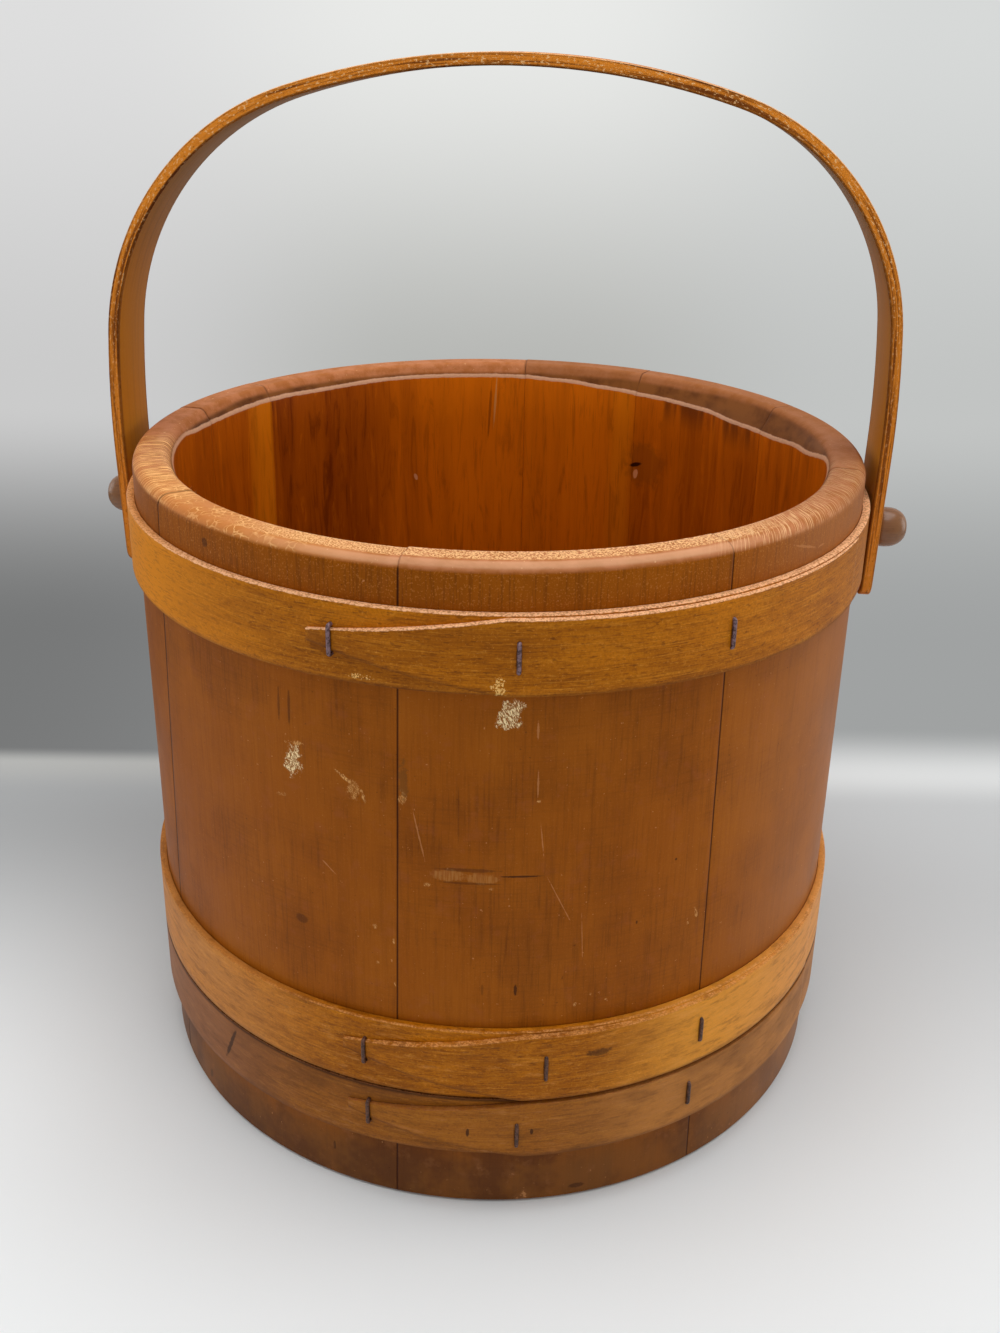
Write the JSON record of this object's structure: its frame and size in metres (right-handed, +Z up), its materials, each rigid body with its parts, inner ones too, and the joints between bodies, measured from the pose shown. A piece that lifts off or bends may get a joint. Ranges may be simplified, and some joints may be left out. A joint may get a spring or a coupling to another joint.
{
  "type": "sugar firkin",
  "caption": "Tapered staved wooden pail with lapped and stapled wooden hoops and a bentwood bail that swings on two wooden pegs.",
  "frame": {"origin": "on the floor, on the pail's upright axis", "axes": "+Z is up, -Y is the front where the hoops lap, and X runs along the bail's pegs"},
  "size_m": [0.268, 0.2471, 0.326],
  "materials": {
    "stave": "aged reddish brown varnish, worn",
    "pale_stave": "aged varnish over paler wood",
    "bottom": "bare wood darkened by age",
    "hoop": "honey brown varnish, edges worn pale",
    "staple": "dark iron wire",
    "peg": "dark, rubbed smooth",
    "wedge": "bare wood",
    "bail": "varnish worn through on the edges"
  },
  "bodies": {
    "pail": {"front_stave": "stave", "front_left_stave": "stave", "left_stave": "stave", "back_left_stave": "pale_stave", "back_stave": "stave", "back_narrow_stave": "pale_stave", "back_right_stave": "stave", "right_stave": "stave", "front_right_stave": "stave", "middle_bottom_board": "bottom", "left_bottom_board": "bottom", "right_bottom_board": "bottom", "upper_hoop": "hoop", "middle_hoop": "hoop", "lower_hoop": "hoop", "upper_hoop_staples": "staple", "middle_hoop_staples": "staple", "lower_hoop_staples": "staple", "left_peg": "peg", "right_peg": "peg", "left_peg_wedge": "wedge", "right_peg_wedge": "wedge"},
    "bail_arch": {"bail": "bail"}
  },
  "joints": [
    {"name": "bail_swing", "type": "hinge", "parent": "pail", "child": "bail_arch", "pos_m": [0, 0, 0.1875], "axis": [1, 0, 0], "range_deg": [-112, 112]}
  ]
}
